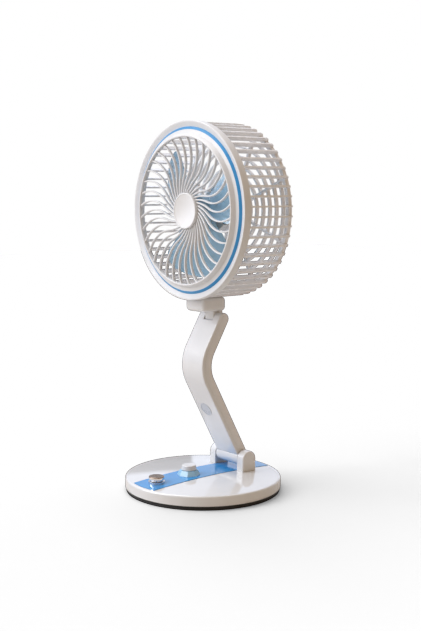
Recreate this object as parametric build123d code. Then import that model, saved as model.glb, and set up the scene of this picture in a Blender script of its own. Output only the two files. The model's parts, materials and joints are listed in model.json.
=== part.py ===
from build123d import *

import os
from math import cos, radians, sin, sqrt

# Rechargeable folding table fan, in millimetres. +Z is up and the fan faces -Y.
# The origin is the middle of the base, on the surface that it stands on.
# Left is -X and right is +X. Radii and places in the head are taken from its own axis.

# Fits
fit_gap = 0.1
running_gap = 0.04
moving_gap = 0.35
pin_fit = 0.02

# Screws, all of one kind
screw_radius = 1.2
screw_head_radius = 2.4
screw_head_height = 1.4
screw_gap = 0.08
boss_wall = 1.9

# Wires
lead_radius = 0.9
lead_bend = 4.0

# Base
base_radius = 67.5
foot_height = 3.2
foot_inset = 1.0
foot_width = 9.0
rim_height = 8.4
rim_edge_radius = 1.5
crown = 2.8
cover_wall = 2.0
plate_thickness = 2.0
base_screw_circle = 52.0
base_screw_count = 4
base_screw_grip = 4.0

# Blue strip across the base
panel_inset = 2.8
panel_recess = 0.9
panel_proud = 0.3
panel_post_gap = 0.4

# Things inside the base
board_lift = 0.8
board_thickness = 1.2
board_width = 26.0
board_margin = 9.0
board_pad_radius = 2.4
control_radius = 6.4
control_headroom = 0.3
control_floor = 1.2
battery_offset = 20.5
battery_width = 30.0
battery_length = 50.0
battery_shift = -3.0
battery_corner = 2.0
headroom = 0.4
ballast_thickness = 3.4
ballast_bolt_inset = 6.0
socket_width = 9.0
socket_depth = 8.0
socket_height = 4.0
socket_nose_width = 7.8
socket_nose_height = 3.0
socket_wall = 0.5
socket_nose_setback = 0.3
socket_tongue = 0.7

# Knobs
speed_knob_y = -15.5
power_knob_y = -50.0
spindle_radius = 2.0
spindle_end_gap = 0.2
spindle_hole_gap = 0.6
knob_cap_wall = 1.2
speed_knob_radius = 6.6
speed_knob_top_radius = 6.1
speed_knob_height = 4.0
knob_edge_radius = 0.7
collar_height = 4.0
collar_foot_radius = 11.4
collar_top_radius = 7.7
collar_sides = 8
power_ring_radius = 7.0
power_ring_height = 1.6
power_waist_radius = 5.9
power_waist_height = 0.8
power_knob_radius = 6.65
power_cap_height = 2.9

# Posts and the arm's hinge
hinge_y = 33.7
hinge_z = 24.0
post_top_radius = 7.2
post_foot_half = 7.6
post_thickness = 8.0
post_edge_radius = 1.2
post_screw_spread = 4.4
post_screw_grip = 5.5
hinge_pin_radius = 2.5
hinge_pin_hold = 6.0
washer_radius = 6.0
washer_play = 0.1

# Arm
arm_width = 28.6
arm_thickness = 10.3
arm_side_gap = 0.7
arm_edge_radius = 1.2
arm_seam = 0.1
lower_leg = 95.9
lower_lean = 28.4
upper_leg = 45.5
upper_lean = 30.1
knee_radius = 28.0
hinge_offset = 1.2
barrel_radius = 6.9
cover_depth = 2.8
arm_front_wall = 1.6
arm_rear_wall = 1.8
arm_side_wall = 2.0
cavity_foot = 12.0
cavity_head = 2.0
arm_screw_lower = (24.0, 74.0)
arm_screw_upper = 24.0
arm_screw_recess = 0.3
lens_along = 54.0
lens_radius = 4.0
lens_flange = 0.9
lens_flange_thickness = 0.8
led_radius = 2.5
led_height = 2.6
arm_lead_x = 8.5

# Head's hinge
tilt_pin_radius = 2.0
tilt_pin_hold = 6.0
tongue_radius = 5.0
tongue_width = 11.4
slot_depth = 9.2
neck_gap = 6.9
neck_half_width = 12.7
neck_front = 20.5
neck_rear = 3.7
neck_edge_radius = 3.4
neck_screw_x = 7.0
neck_screw_length = 8.0

# Head
head_rise = 92.35
face_reach = 30.1
head_radius = 75.0
head_depth = 54.3
opening_radius = 58.5
bezel_depth = 7.1
bezel_wall = 1.9
bezel_raise = 3.0
bezel_edge = 0.8
bezel_lip_width = 2.2
bezel_lip_drop = 0.6
bezel_well = 7.0
bezel_shoulder = 2.1
accent_radius = 73.6
accent_run = 2.0
accent_share = 0.72
accent_depth = 0.9
accent_proud = 0.15

# Front grille
grille_rib_count = 36
grille_rib_width = 1.3
grille_rib_depth = 2.6
grille_setback = 0.2
rib_root_angle = 25.0
rib_bend_radius = 29.0
rib_bend_angle = 2.6
rib_bend_slope = -28.0
rib_tip_angle = 2.4
rib_overlap = 0.6
hub_radius = 15.0
hub_disc_thickness = 1.8
hub_cap_crown = 2.4
hub_cap_side = 0.8
hub_spigot_radius = 4.0

# Rear cage
cage_radius = 74.0
cage_rib_count = 56
cage_rib_width = 1.4
cage_rib_depth = 3.6
cage_corner = 3.0
cage_ring_depth = 4.4
rear_ring_pitch = 8.1
rear_ring_first = 22.2
rear_ring_count = 6
rear_ring_width = 1.5
rear_ring_depth = 3.5
rear_rim_width = 3.6
spoke_count = 8
spoke_width = 2.0
lead_spoke_width = 5.0
lead_spoke_angle = -90.0
pad_margin = 2.0
pad_floor = 2.2

# Motor
motor_radius = 15.0
motor_length = 18.0
motor_wall = 1.2
cup_wall = 2.2
cup_floor = 2.0
end_cap_thickness = 2.6
retainer_thickness = 1.8
retainer_bore = 7.0
retainer_screw_count = 3
retainer_first_angle = 90.0
retainer_screw_grip = 7.0
shaft_radius = 1.2
bearing_radius = 3.0
bearing_length = 3.0
armature_radius = 9.5
armature_gap = 2.4
magnet_gap = 0.6
magnet_arc = 130.0
magnet_count = 2

# Impeller
blade_count = 3
blade_setback = 18.5
blade_tip_radius = 56.5
blade_thickness = 1.6
blade_camber = 3.0
blade_chord = 84.0
blade_root_pitch = 34.0
blade_tip_pitch = 18.0
blade_first_angle = 20.0
blade_root_half_angle = 52.0
blade_lead_angle = 36.0
blade_trail_angle = -34.0
blade_corner = 10.0
blade_edge_bow = 3.0
impeller_hub_radius = 13.5
impeller_hub_half = 8.0
impeller_hub_wall = 2.0
impeller_boss_radius = 3.6
nut_radius = 3.2
nut_height = 3.0
nut_sides = 6

# Heights in the base, and its domed top
plate_top = foot_height + plate_thickness
rim_top = foot_height + rim_height
crown_top = rim_top + crown
dome_radius = (base_radius**2 + crown**2) / (2 * crown)
dome_centre = crown_top - dome_radius
inner_radius = base_radius - cover_wall
board_top = plate_top + board_lift + board_thickness
lead_z = board_top + lead_radius + fit_gap
panel_end_radius = base_radius - panel_inset

# Posts
post_inner = arm_width / 2 + arm_side_gap
post_outer = post_inner + post_thickness
post_middle = post_inner + post_thickness / 2
panel_half_width = post_inner - panel_post_gap

# The arm's middle line: a lower leg, a knee and an upper leg
lower_dir = Vector(0, -sin(radians(lower_lean)), cos(radians(lower_lean)))
lower_rear = Vector(0, cos(radians(lower_lean)), sin(radians(lower_lean)))
upper_dir = Vector(0, sin(radians(upper_lean)), cos(radians(upper_lean)))
upper_rear = Vector(0, cos(radians(upper_lean)), -sin(radians(upper_lean)))
hinge = Vector(0, hinge_y, hinge_z)
leg_foot = hinge + lower_rear * hinge_offset
knee = leg_foot + lower_dir * lower_leg
tilt = knee + upper_dir * upper_leg
arm_half = arm_thickness / 2
arm_half_width = arm_width / 2
arm_split = cover_depth - arm_half
cavity_half_width = arm_half_width - arm_side_wall
slot_half_width = tongue_width / 2 + moving_gap

# Places along the head's axis
head_z = tilt.Z + head_rise
head_axis = Axis((0, 0, head_z), (0, -1, 0))
bezel_front = tilt.Y - face_reach
bezel_rear = bezel_front + bezel_depth
cage_rear = bezel_front + head_depth
cage_front = bezel_front + bezel_shoulder
rear_ring_front = cage_rear - rear_ring_depth
grille_front = bezel_front + grille_setback
grille_rear = grille_front + grille_rib_depth
hub_disc_front = grille_rear - hub_disc_thickness
neck_y = tilt.Y + (neck_rear - neck_front) / 2
cage_inner = cage_radius - cage_rib_depth
bezel_inner = head_radius - bezel_wall
cage_step_radius = bezel_inner - fit_gap
cup_inner = motor_radius + fit_gap
cup_outer = cup_inner + cup_wall
cup_floor_y = cage_rear - cup_floor
can_rear = cup_floor_y - end_cap_thickness
can_front = can_rear - motor_length
retainer_screw_circle = cup_outer + screw_radius
impeller_y = bezel_front + blade_setback
hub_front = impeller_y - impeller_hub_half
hub_rear = impeller_y + impeller_hub_half
armature_front = can_front + motor_wall + armature_gap
armature_rear = can_rear - armature_gap

ON_END = (Align.CENTER, Align.CENTER, Align.MIN)


# General shapes
def rod(start, end, radius):
    """A round bar from one point to another."""
    span = Vector(end) - Vector(start)
    return Plane(origin=start, z_dir=span) * Cylinder(radius, span.length, align=ON_END)


def pipe(start, end, outer, inner):
    """A round tube from one point to another."""
    return rod(start, end, outer) - rod(start, end, inner)


def screw(seat, tip):
    """A pan-head screw whose head bears on the seat and whose shank ends at the tip."""
    into = (Vector(tip) - Vector(seat)).normalized()
    back = Vector(seat) - into * screw_head_height
    return rod(seat, tip, screw_radius) + rod(back, seat, screw_head_radius)


def screw_hole(seat, tip):
    """The hole that a screw's shank runs in."""
    return rod(seat, tip, screw_radius + screw_gap)


def lead(points):
    """A wire of straight runs and round bends."""
    path = FilletPolyline(*points, radius=lead_bend)
    start = Plane(origin=path @ 0, z_dir=path % 0)
    return sweep(start * Circle(lead_radius), path)


def across(half_width, y, z, radius):
    """A round bar along X, the same to both sides."""
    return rod((-half_width, y, z), (half_width, y, z), radius)


def turned(points):
    """A solid turned about the head's axis from points given as radius and y."""
    outline = make_face(Polyline(*points, close=True))
    return revolve(Pos(0, 0, head_z) * outline, head_axis)


def head_ring(front, rear, outer, inner):
    """A plain ring round the head's axis."""
    return turned([(inner, front), (outer, front), (outer, rear), (inner, rear)])


def head_rod(front, rear, radius):
    """A round bar on the head's axis."""
    return rod((0, front, head_z), (0, rear, head_z), radius)


def head_point(radius, angle, y):
    """A point in the head, its angle counted from +X towards +Z."""
    return Vector(radius * cos(radians(angle)), y, head_z + radius * sin(radians(angle)))


def around_head(part, count, first=0.0):
    """Copies of a part, evenly spaced round the head's axis, counted from +X towards +Z."""
    return [part.rotate(head_axis, first + 360.0 * k / count) for k in range(count)]


def head_plane(y):
    """A plane across the head that looks forward, with its X along +X and its Y along +Z."""
    return Plane(origin=(0, y, head_z), x_dir=(1, 0, 0), z_dir=(0, -1, 0))


# Base
def dome_height(radius, lift=0.0):
    """The height of the domed top, or of a surface that lies lift above it."""
    return dome_centre + sqrt((dome_radius + lift) ** 2 - radius**2)


def domed_drum(radius, bottom, lift=0.0):
    """A drum whose top follows the dome."""
    crest = (0, dome_height(0, lift))
    shoulder = (radius, dome_height(radius, lift))
    between = (radius / 2, dome_height(radius / 2, lift))
    sides = Polyline(crest, (0, bottom), (radius, bottom), shoulder)
    outline = make_face(sides + ThreePointArc(shoulder, between, crest))
    return revolve(Plane.XZ * outline, Axis.Z)


def panel_slab(grow, low, high):
    """The strip's outline across the base, between two surfaces that follow the dome."""
    length = 2 * base_radius
    outline = Rectangle(2 * (panel_half_width + grow), length) & Circle(panel_end_radius + grow)
    layer = domed_drum(base_radius, foot_height, high) - domed_drum(base_radius, foot_height, low)
    return extrude(outline, length) & layer


def base_screw_points(z):
    """The places of the screws that hold the plate to the cover."""
    step = 360.0 / base_screw_count
    turns = [radians(step * (k + 0.5)) for k in range(base_screw_count)]
    return [(base_screw_circle * cos(t), base_screw_circle * sin(t), z) for t in turns]


def post_screw_points(z):
    """The places of the screws that hold the posts to the cover."""
    sides = (-post_middle, post_middle)
    rows = (hinge_y - post_screw_spread, hinge_y + post_screw_spread)
    return [(x, y, z) for x in sides for y in rows]


post_boss_z = dome_height(hinge_y + post_screw_spread + post_outer, -cover_wall) - fit_gap
post_screw_top = dome_height(hinge_y) + post_screw_grip


def spindle_hole(y):
    """The hole that a knob's spindle passes through."""
    return rod((0, y, foot_height), (0, y, base_radius), spindle_radius + spindle_hole_gap)


def supply_hole():
    """The way for the wires from the base up into the left post."""
    foot = (-post_middle, hinge_y, foot_height)
    top = (-post_middle, hinge_y, hinge_z - hinge_pin_radius - lead_radius)
    return rod(foot, top, lead_radius + moving_gap)


def socket_box(grow, low_y, high_y, width, height):
    """A block at the charging inlet, centred on its height."""
    middle_z = plate_top + socket_height / 2
    size = (width + 2 * grow, high_y - low_y, height + 2 * grow)
    return Pos(0, (low_y + high_y) / 2, middle_z) * Box(*size)


def base_cover():
    """The white top moulding: rim, domed top, recess for the strip, bosses and holes."""
    outer = domed_drum(base_radius, foot_height)
    rings = outer.edges().filter_by(GeomType.CIRCLE).filter_by(lambda edge: edge.is_closed)
    outer = fillet(rings.sort_by(Axis.Z)[-1], rim_edge_radius)
    cover = outer - domed_drum(inner_radius, foot_height, -cover_wall)
    boss_radius = screw_radius + boss_wall
    bosses = [rod(p, (p[0], p[1], crown_top), boss_radius) for p in base_screw_points(plate_top)]
    bosses += [rod(p, (p[0], p[1], crown_top), boss_radius) for p in post_screw_points(post_boss_z)]
    cover += [boss & outer for boss in bosses]
    cuts = [panel_slab(fit_gap, -panel_recess, cover_wall)]
    cuts += [spindle_hole(power_knob_y), spindle_hole(speed_knob_y), supply_hole()]
    cuts += [socket_box(fit_gap, 0, base_radius + cover_wall, socket_nose_width, socket_nose_height)]
    cuts += [screw_hole(p, (p[0], p[1], p[2] + base_screw_grip)) for p in base_screw_points(plate_top)]
    cuts += [screw_hole(p, (p[0], p[1], crown_top)) for p in post_screw_points(post_boss_z)]
    return cover - cuts


def base_plate():
    """The flat bottom, with pads that the board lies on."""
    plate = rod((0, 0, foot_height), (0, 0, plate_top), inner_radius - fit_gap)
    pad_x = board_width / 2 - board_pad_radius
    pad_rows = (board_front + board_pad_radius, board_rear - board_pad_radius)
    pads = [(x, y) for x in (-pad_x, pad_x) for y in pad_rows]
    plate += [rod((x, y, plate_top), (x, y, plate_top + board_lift), board_pad_radius) for x, y in pads]
    return plate - [screw_hole(p, (p[0], p[1], plate_top)) for p in base_screw_points(foot_height)]


def base_screws():
    """Four screws from below that hold the plate."""
    top = plate_top + base_screw_grip - fit_gap
    return [screw(p, (p[0], p[1], top)) for p in base_screw_points(foot_height)]


def foot_ring():
    """The rubber ring that the fan stands on."""
    outer = base_radius - foot_inset
    return pipe((0, 0, 0), (0, 0, foot_height), outer, outer - foot_width)


def control_panel():
    """The blue strip, let into the top and a little proud of it."""
    strip = panel_slab(0, -panel_recess, panel_proud)
    return strip - [spindle_hole(power_knob_y), spindle_hole(speed_knob_y)]


board_front = power_knob_y - board_margin
board_rear = speed_knob_y + board_margin
control_top = dome_height(control_radius - power_knob_y, -cover_wall) - control_headroom


def control_board():
    """The circuit board under the knobs."""
    size = (board_width, board_rear - board_front, board_thickness)
    middle = (0, (board_front + board_rear) / 2, board_top - board_thickness / 2)
    return Pos(*middle) * Box(*size)


def control(y):
    """A rotary switch or potentiometer on the board, with the hole that its spindle turns in."""
    body = rod((0, y, board_top), (0, y, control_top), control_radius)
    hole = rod((0, y, board_top + control_floor), (0, y, control_top), spindle_radius + running_gap)
    return body - hole


def base_slab(side, width, length, height):
    """A flat block that lies on the bottom plate, left or right of the board."""
    middle_x = side * (battery_offset + width / 2)
    block = Pos(middle_x, battery_shift, plate_top) * Box(width, length, height, align=ON_END)
    return fillet(block.edges().filter_by(Axis.Z), battery_corner)


battery_far = sqrt((battery_offset + battery_width) ** 2 + (battery_length / 2 - battery_shift) ** 2)
battery_top = dome_height(battery_far, -cover_wall) - headroom


def battery_pack():
    """A flat rechargeable cell, under the domed top with a little headroom."""
    return base_slab(1, battery_width, battery_length, battery_top - plate_top)


def ballast_plate():
    """The steel weight opposite the battery, with a hole near each end."""
    plate = base_slab(-1, battery_width, battery_length, ballast_thickness)
    middle_x = -battery_offset - battery_width / 2
    reach = battery_length / 2 - ballast_bolt_inset
    rows = (battery_shift - reach, battery_shift + reach)
    top = plate_top + ballast_thickness
    return plate - [rod((middle_x, y, plate_top), (middle_x, y, top), screw_head_radius) for y in rows]


def charging_socket():
    """The inlet in the rear rim: a metal box with a nose, a slot and a contact tongue."""
    back_y = sqrt(inner_radius**2 - (socket_width / 2) ** 2) - fit_gap
    front_y = back_y - socket_depth
    nose_y = base_radius - socket_nose_setback
    socket = socket_box(0, front_y, back_y, socket_width, socket_height)
    socket += socket_box(0, back_y, nose_y, socket_nose_width, socket_nose_height)
    floor_y = front_y + socket_wall
    socket -= socket_box(-socket_wall, floor_y, nose_y, socket_nose_width, socket_nose_height)
    return socket + socket_box(0, front_y, back_y, socket_nose_width / 2, socket_tongue)


def supply_leads():
    """The wires from the board to the left post and up into it."""
    inner_x = -board_width / 4
    top_z = hinge_z - hinge_pin_radius - 2 * lead_radius
    points = [(inner_x, board_rear - board_margin / 2, lead_z), (inner_x, hinge_y, lead_z)]
    points += [(-post_middle, hinge_y, lead_z), (-post_middle, hinge_y, top_z)]
    return lead(points)


def battery_leads():
    """The wires from the battery's end to the board."""
    start_x = battery_offset + battery_width / 4
    end_y = battery_shift - battery_length / 2
    turn_y = end_y - lead_bend - lead_radius
    points = [(start_x, end_y, lead_z), (start_x, turn_y, lead_z), (board_width / 4, turn_y, lead_z)]
    return lead(points)


# Knobs
def knob_floor(y):
    """The height of the strip's surface at a knob."""
    return dome_height(abs(y), panel_proud)


collar_top = knob_floor(speed_knob_y) + collar_height
speed_knob_foot = collar_top + moving_gap
power_ring_top = knob_floor(power_knob_y) + power_ring_height
power_knob_foot = power_ring_top + moving_gap


def knob_collar():
    """The faceted blue collar that stands on the strip under the rear knob."""
    foot = Pos(0, speed_knob_y, crown_top - cover_wall) * RegularPolygon(collar_foot_radius, collar_sides)
    top = Pos(0, speed_knob_y, collar_top) * RegularPolygon(collar_top_radius, collar_sides)
    collar = loft([foot, top]) - domed_drum(base_radius, foot_height, panel_proud)
    return collar - spindle_hole(speed_knob_y)


def power_knob_ring():
    """The fixed ring that stands on the strip under the front knob."""
    foot = (0, power_knob_y, rim_top)
    top = (0, power_knob_y, power_ring_top)
    ring = rod(foot, top, power_ring_radius) - domed_drum(base_radius, foot_height, panel_proud)
    return ring - spindle_hole(power_knob_y)


def spindle(y, top):
    """The spindle that a knob sits on, standing in its control."""
    foot = board_top + control_floor + spindle_end_gap
    return rod((0, y, foot), (0, y, top), spindle_radius)


def knob_bore(y, foot, top):
    """The blind hole in a knob, for its spindle."""
    return rod((0, y, foot), (0, y, top), spindle_radius + pin_fit)


speed_knob_top = speed_knob_foot + speed_knob_height
power_knob_top = power_knob_foot + power_waist_height + power_cap_height


def speed_knob():
    """The plain tapered knob at the back."""
    foot = Pos(0, speed_knob_y, speed_knob_foot) * Circle(speed_knob_radius)
    top = Pos(0, speed_knob_y, speed_knob_top) * Circle(speed_knob_top_radius)
    knob = loft([foot, top])
    knob = fillet(knob.edges().sort_by(Axis.Z)[-1], knob_edge_radius)
    return knob - knob_bore(speed_knob_y, speed_knob_foot, speed_knob_top - knob_cap_wall)


def power_knob():
    """The front knob: a cap over a narrower waist."""
    waist_top = power_knob_foot + power_waist_height
    cap = rod((0, power_knob_y, waist_top), (0, power_knob_y, power_knob_top), power_knob_radius)
    cap = fillet(cap.edges().filter_by(GeomType.CIRCLE), knob_edge_radius)
    foot = (0, power_knob_y, power_knob_foot)
    waist = rod(foot, (0, power_knob_y, waist_top + knob_edge_radius), power_waist_radius)
    bore = knob_bore(power_knob_y, power_knob_foot, power_knob_top - knob_cap_wall)
    return cap + waist - bore


# Posts and hinge
def hinge_post(side):
    """A tombstone-shaped post that stands on the dome and holds one end of the pin."""
    foot = Line((hinge_y - post_foot_half, rim_top), (hinge_y + post_foot_half, rim_top))
    top = Pos(hinge_y, hinge_z) * Circle(post_top_radius)
    outline = make_hull([foot.edge(), top.edge()])
    post = Pos(post_inner, 0, 0) * extrude(Plane.YZ * outline, post_thickness)
    post = fillet(post.faces().sort_by(Axis.X)[-1].edges(), post_edge_radius)
    if side < 0:
        post = mirror(post, Plane.YZ)
    hold = post_inner + hinge_pin_hold + fit_gap
    cuts = [domed_drum(base_radius, foot_height)]
    cuts += [across(hold, hinge_y, hinge_z, hinge_pin_radius + pin_fit)]
    cuts += [screw_hole(p, (p[0], p[1], post_screw_top)) for p in post_screw_points(rim_top)]
    return post - cuts - supply_hole()


def hinge_pin():
    """The pin between the posts."""
    return across(post_inner + hinge_pin_hold, hinge_y, hinge_z, hinge_pin_radius)


def friction_washers():
    """A washer on each side of the arm."""
    near = arm_half_width + washer_play
    far = post_inner - washer_play
    bore = hinge_pin_radius + running_gap
    ends = [(side * near, side * far) for side in (-1, 1)]
    return [pipe((a, hinge_y, hinge_z), (b, hinge_y, hinge_z), washer_radius, bore) for a, b in ends]


def post_screws():
    """Two screws up into each post, with their heads inside the base."""
    return [screw(p, (p[0], p[1], post_screw_top - fit_gap)) for p in post_screw_points(post_boss_z)]


# Arm
def on_lower(along, depth, x=0.0):
    """A point on the lower leg, depth behind its middle line."""
    return leg_foot + lower_dir * along + lower_rear * depth + Vector(x, 0, 0)


def on_upper(along, depth, x=0.0):
    """A point on the upper leg, counted from the knee, depth behind its middle line."""
    return knee + upper_dir * along + upper_rear * depth + Vector(x, 0, 0)


def arm_line(depth, start, end, x=0.0):
    """A line along both legs, round the knee, at one depth."""
    both = lower_rear + upper_rear
    corner = knee + both * (2 * depth / both.length**2) + Vector(x, 0, 0)
    points = (on_lower(start, depth, x), corner, on_upper(end, depth, x))
    return FilletPolyline(*points, radius=knee_radius - depth)


def arm_slab(front, rear, start, end, half_width):
    """The stretch of the arm between two depths."""
    fore = arm_line(front, start, end)
    aft = arm_line(rear, start, end)
    ends = [Line(fore @ 0, aft @ 0).edge(), Line(fore @ 1, aft @ 1).edge()]
    return extrude(make_face(fore.edges() + aft.edges() + ends), half_width, both=True)


def arm_form():
    """The arm's outer form, with a rounded top end and rounded long edges."""
    form = arm_slab(-arm_half, arm_half, 0, upper_leg, arm_half_width)
    form += across(arm_half_width, tilt.Y, tilt.Z, arm_half)
    sides = form.faces().filter_by(Axis.X)
    spots = [(edge, edge.center()) for edge in sides.edges()]
    edges = [edge for edge, c in spots if (Vector(0, c.Y, c.Z) - hinge).length > barrel_radius]
    return fillet(edges, arm_edge_radius)


def arm_front_part(depth):
    """The space of the front cover, down to a depth."""
    return arm_slab(-arm_thickness, depth, 0, upper_leg + arm_thickness, arm_width)


def arm_cavity():
    """The hollow inside the arm."""
    front = arm_front_wall - arm_half
    rear = arm_half - arm_rear_wall
    return arm_slab(front, rear, cavity_foot, upper_leg - slot_depth - cavity_head, cavity_half_width)


def tilt_slot(depth):
    """The slot in the top of the arm that the neck's tongue turns in."""
    low = upper_leg - depth
    high = upper_leg + arm_thickness
    corners = [(low, -arm_thickness), (low, arm_thickness), (high, arm_thickness), (high, -arm_thickness)]
    outline = make_face(Polyline(*[on_upper(*c) for c in corners], close=True))
    return extrude(outline, slot_half_width, both=True)


def tilt_bore():
    """The hole for the tilt pin: open on the left, blind on the right."""
    right = slot_half_width + tilt_pin_hold + fit_gap
    return rod((-arm_width, tilt.Y, tilt.Z), (right, tilt.Y, tilt.Z), tilt_pin_radius + pin_fit)


def arm_screw_points(depth):
    """The places of the arm's screws at a depth."""
    return [on_lower(along, depth) for along in arm_screw_lower] + [on_upper(arm_screw_upper, depth)]


arm_screw_seat = arm_half - arm_screw_recess - screw_head_height
arm_screw_tip = arm_front_wall - arm_half + fit_gap


def arm_bosses(front, rear):
    """The pillars that the arm's screws run in, between two depths."""
    ends = zip(arm_screw_points(front), arm_screw_points(rear))
    return [rod(a, b, screw_head_radius + boss_wall / 2) for a, b in ends]


def arm_screw_cuts():
    """The screws' holes and the recesses for their heads."""
    seats = arm_screw_points(arm_screw_seat)
    cuts = [screw_hole(seat, tip) for seat, tip in zip(seats, arm_screw_points(arm_screw_tip))]
    mouths = arm_screw_points(arm_thickness)
    return cuts + [rod(seat, mouth, screw_head_radius + fit_gap) for seat, mouth in zip(seats, mouths)]


def arm_screws():
    """The screws that hold the two halves of the arm together."""
    ends = zip(arm_screw_points(arm_screw_seat), arm_screw_points(arm_screw_tip + fit_gap))
    return [screw(seat, tip) for seat, tip in ends]


lens_back = arm_front_wall - arm_half + lens_flange_thickness
led_back = lens_back + led_height + fit_gap


def arm_rear_shell():
    """The arm's main moulding: the channel, the hinge barrel, the cheeks and the bosses."""
    shell = arm_form() - arm_front_part(arm_split + arm_seam)
    shell -= arm_cavity()
    shell += across(arm_half_width, hinge_y, hinge_z, barrel_radius)
    wall_depth = arm_half - arm_rear_wall / 2
    shell += arm_bosses(arm_split + arm_seam, wall_depth)
    shell += rod(on_lower(lens_along, led_back), on_lower(lens_along, wall_depth), led_radius)
    bore = across(arm_half_width, hinge_y, hinge_z, hinge_pin_radius + running_gap)
    return shell - [bore, tilt_slot(slot_depth), tilt_bore()] - arm_screw_cuts()


def arm_front_cover():
    """The glossy front of the arm, with the hole for the lens."""
    cover = arm_form() & arm_front_part(arm_split)
    cover -= [arm_cavity(), across(arm_half_width, hinge_y, hinge_z, barrel_radius + arm_seam)]
    cover -= across(slot_half_width, tilt.Y, tilt.Z, tongue_radius + moving_gap)
    cover += arm_bosses(arm_front_wall / 2 - arm_half, arm_split)
    cover_slot = sqrt((tongue_radius + 2 * moving_gap) ** 2 - (arm_half - arm_front_wall) ** 2)
    lens_hole = rod(on_lower(lens_along, -arm_thickness), on_lower(lens_along, 0), lens_radius + fit_gap)
    return cover - [tilt_slot(cover_slot), lens_hole] - arm_screw_cuts()


def indicator_lens():
    """The round lens in the arm's front, with a flange behind the wall."""
    face = on_lower(lens_along, -arm_half)
    wall = on_lower(lens_along, arm_front_wall - arm_half)
    back = on_lower(lens_along, lens_back)
    return rod(face, wall, lens_radius) + rod(wall, back, lens_radius + lens_flange)


def indicator_led():
    """The light behind the lens, standing on its pillar."""
    return rod(on_lower(lens_along, lens_back + fit_gap), on_lower(lens_along, led_back), led_radius)


def arm_leads():
    """The wires that lie along the back of the arm's hollow."""
    depth = arm_half - arm_rear_wall - lead_radius - fit_gap
    end = upper_leg - slot_depth - 2 * cavity_head
    path = arm_line(depth, cavity_foot + cavity_head, end, arm_lead_x)
    return sweep(Plane(origin=path @ 0, z_dir=path % 0) * Circle(lead_radius), path)


def tilt_pin():
    """The pin that the head tilts on, flush with the left side."""
    left = (-arm_half_width, tilt.Y, tilt.Z)
    return rod(left, (slot_half_width + tilt_pin_hold, tilt.Y, tilt.Z), tilt_pin_radius)


# Neck
neck_bottom = tilt.Z + neck_gap
neck_seat_z = head_z - cage_radius + pad_floor
neck_lead_y = tilt.Y


def neck_screw_points(z):
    """The places of the screws that hold the neck to the cage."""
    return [(x, neck_y, z) for x in (-neck_screw_x, neck_screw_x)]


def neck_lead_hole():
    """The way for the motor's wires out of the neck into the cage."""
    foot = (0, neck_lead_y, neck_bottom + neck_edge_radius)
    return rod(foot, (0, neck_lead_y, head_z - cage_inner + cage_rib_depth), lead_radius + moving_gap)


def neck_block():
    """The rounded block under the cage, with the tongue that turns in the arm."""
    height = head_z - cage_inner - neck_bottom
    length = neck_front + neck_rear
    block = Pos(0, neck_y, neck_bottom) * Box(2 * neck_half_width, length, height, align=ON_END)
    uprights = block.edges().filter_by(Axis.Z)
    block = fillet(uprights + block.faces().sort_by(Axis.Z)[0].edges(), neck_edge_radius)
    root_y = tilt.Y + (neck_rear - tongue_radius) / 2
    size = (tongue_width, tongue_radius + neck_rear, neck_gap + neck_edge_radius)
    root = Pos(0, root_y, tilt.Z) * Box(*size, align=ON_END)
    block += [root, across(tongue_width / 2, tilt.Y, tilt.Z, tongue_radius)]
    cuts = [head_rod(bezel_front, cage_rear, cage_radius + fit_gap), neck_lead_hole()]
    cuts += [across(tongue_width, tilt.Y, tilt.Z, tilt_pin_radius + running_gap)]
    cuts += [screw_hole(p, (p[0], p[1], p[2] - neck_screw_length)) for p in neck_screw_points(neck_seat_z)]
    return block - cuts


def neck_screws():
    """Two screws from inside the cage down into the neck."""
    tip = neck_seat_z - neck_screw_length + fit_gap
    return [screw(p, (p[0], p[1], tip)) for p in neck_screw_points(neck_seat_z)]


# Rear cage
def cage_rib():
    """One bar along the cage, stepped under the bezel and rounded at the back."""
    foot_y = bezel_rear + fit_gap
    start_y = foot_y - cage_ring_depth / 2
    front = Polyline(
        (cage_inner, cage_rear),
        (cage_inner, start_y),
        (cage_step_radius, start_y),
        (cage_step_radius, foot_y),
        (cage_radius, foot_y),
        (cage_radius, cage_rear - cage_corner),
    )
    corner = TangentArc(front @ 1, (cage_radius - cage_corner, cage_rear), tangent=(0, 1))
    back = Line(corner @ 1, front @ 0)
    return extrude(Pos(0, 0, head_z) * make_face(front + corner + back), cage_rib_width / 2, both=True)


def cage_spoke(width, angle):
    """A bar across the back of the cage, from the motor cup to the rim."""
    rim = cage_radius - cage_corner - rear_rim_width / 2
    length = rim - motor_radius
    spoke = Box(length, rear_ring_depth, width)
    middle = (motor_radius + length / 2, cage_rear - rear_ring_depth / 2, head_z)
    return (Pos(*middle) * spoke).rotate(head_axis, angle)


def cage_pad():
    """The solid patch of the drum that the neck is screwed to."""
    front = bezel_rear + fit_gap
    rear = tilt.Y + neck_rear + pad_margin
    drum = head_ring(front, rear, cage_radius, cage_inner)
    width = 2 * (neck_half_width + pad_margin)
    return drum & Pos(0, (front + rear) / 2, head_z - cage_radius) * Box(width, rear - front, cage_radius)


def retainer_screw_spots(front, rear, radius):
    """Round bars at the retainer's screws."""
    start = head_point(retainer_screw_circle, 0, front)
    end = head_point(retainer_screw_circle, 0, rear)
    return around_head(rod(start, end, radius), retainer_screw_count, retainer_first_angle)


def motor_cup():
    """The cup at the back that holds the motor, with pillars for the retainer's screws."""
    cup = head_rod(can_front, cage_rear, cup_outer)
    cup += retainer_screw_spots(can_front, cage_rear, screw_radius + boss_wall)
    return cup - head_rod(can_front, cup_floor_y, cup_inner)


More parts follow.
